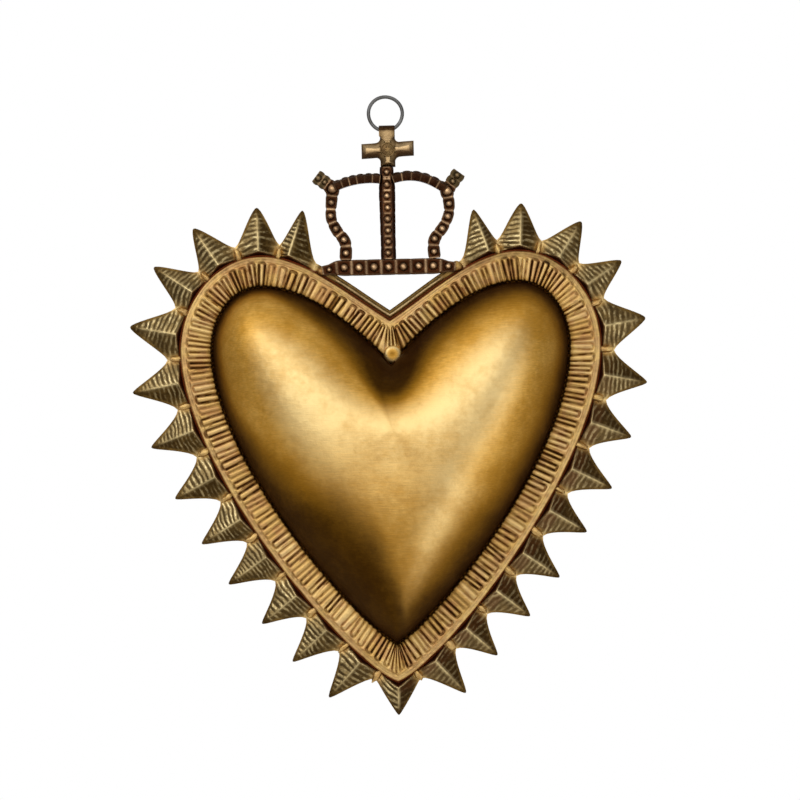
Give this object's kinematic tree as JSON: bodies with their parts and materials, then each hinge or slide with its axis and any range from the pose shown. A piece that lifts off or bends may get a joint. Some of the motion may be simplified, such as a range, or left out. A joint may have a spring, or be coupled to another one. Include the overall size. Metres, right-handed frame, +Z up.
{
  "type": "hanging heart ornament",
  "caption": "Puffed sheet-brass heart with a fluted border and pressed rays, under a beaded crown and cross, hung from a wire ring.",
  "frame": {"origin": "top of the hanging ring's inside, where the nail bears", "axes": "+Z up, +X to the viewer's right, -Y out of the face towards the viewer, +Y into the wall"},
  "size_m": [0.2008, 0.0263, 0.242],
  "materials": {
    "fine_brass": "satin antique gold, brown in the hollows",
    "aged_brass": "olive brown aged brass, chased",
    "dark_brass": "dark brown aged brass with worn pearls",
    "cross_brass": "antique gold with olive patina",
    "dark_steel": "dark grey wire"
  },
  "bodies": {
    "ring": {"hanging_ring": "dark_steel"},
    "heart": {"ray_plate": "aged_brass", "heart_front": "fine_brass", "crown_base": "dark_brass", "crown_side_left": "dark_brass", "crown_side_right": "dark_brass", "crown_arch_left": "dark_brass", "crown_arch_right": "dark_brass", "crown_post": "dark_brass", "cross": "cross_brass"}
  },
  "joints": [
    {"name": "ring_swing", "type": "hinge", "parent": "ring", "child": "heart", "pos_m": [0, 0, -0.01223], "axis": [1, 0, 0], "range_deg": [-150, 150]}
  ]
}
